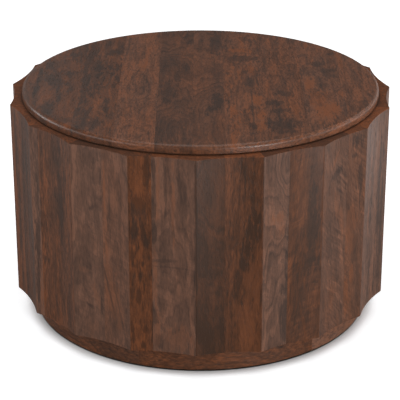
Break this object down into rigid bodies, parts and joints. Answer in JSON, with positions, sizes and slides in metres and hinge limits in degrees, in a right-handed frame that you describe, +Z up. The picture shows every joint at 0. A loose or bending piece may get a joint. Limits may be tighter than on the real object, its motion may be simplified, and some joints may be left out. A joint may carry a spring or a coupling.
{
  "type": "drum table",
  "caption": "Round solid-wood drum table: a hollow drum of hollow-fluted staves on a recessed plinth, under a round board top with a rounded edge.",
  "frame": {"origin": "on the drum's axis, at the floor that the felt pads stand on", "axes": "+Z up; -Y is the front, where one arris of the drum faces; +X is to the right seen from the front"},
  "size_m": [0.7476, 0.7451, 0.46],
  "materials": {
    "top_wood": "dark brown stained mango wood, satin lacquer",
    "stave_wood": "dark brown stained mango wood, satin lacquer",
    "plinth_wood": "dark brown stained mango wood, satin lacquer",
    "panel_plywood": "unfinished plywood",
    "inner_wood": "planed, unstained",
    "screw_steel": "zinc plated",
    "pad_felt": "pressed wool felt"
  },
  "bodies": {
    "root": {"top_board_01": "top_wood", "top_board_02": "top_wood", "top_board_03": "top_wood", "top_board_04": "top_wood", "top_board_05": "top_wood", "top_board_06": "top_wood", "top_board_07": "top_wood", "top_board_08": "top_wood", "top_board_09": "top_wood", "top_board_10": "top_wood", "stave_01_left": "stave_wood", "stave_01_right": "stave_wood", "stave_02_left": "stave_wood", "stave_02_right": "stave_wood", "stave_03_left": "stave_wood", "stave_03_right": "stave_wood", "stave_04_left": "stave_wood", "stave_04_right": "stave_wood", "stave_05_left": "stave_wood", "stave_05_right": "stave_wood", "stave_06_left": "stave_wood", "stave_06_right": "stave_wood", "stave_07_left": "stave_wood", "stave_07_right": "stave_wood", "stave_08_left": "stave_wood", "stave_08_right": "stave_wood", "stave_09_left": "stave_wood", "stave_09_right": "stave_wood", "stave_10_left": "stave_wood", "stave_10_right": "stave_wood", "stave_11_left": "stave_wood", "stave_11_right": "stave_wood", "stave_12_left": "stave_wood", "stave_12_right": "stave_wood", "stave_13_left": "stave_wood", "stave_13_right": "stave_wood", "stave_14_left": "stave_wood", "stave_14_right": "stave_wood", "stave_15_left": "stave_wood", "stave_15_right": "stave_wood", "stave_16_left": "stave_wood", "stave_16_right": "stave_wood", "stave_17_left": "stave_wood", "stave_17_right": "stave_wood", "stave_18_left": "stave_wood", "stave_18_right": "stave_wood", "stave_19_left": "stave_wood", "stave_19_right": "stave_wood", "plinth_segment_1": "plinth_wood", "plinth_segment_2": "plinth_wood", "plinth_segment_3": "plinth_wood", "plinth_segment_4": "plinth_wood", "plinth_segment_5": "plinth_wood", "plinth_segment_6": "plinth_wood", "base_panel": "panel_plywood", "top_battens": "inner_wood", "top_blocks": "inner_wood", "batten_screws": "screw_steel", "long_screws": "screw_steel", "felt_pads": "pad_felt"}
  },
  "joints": []
}
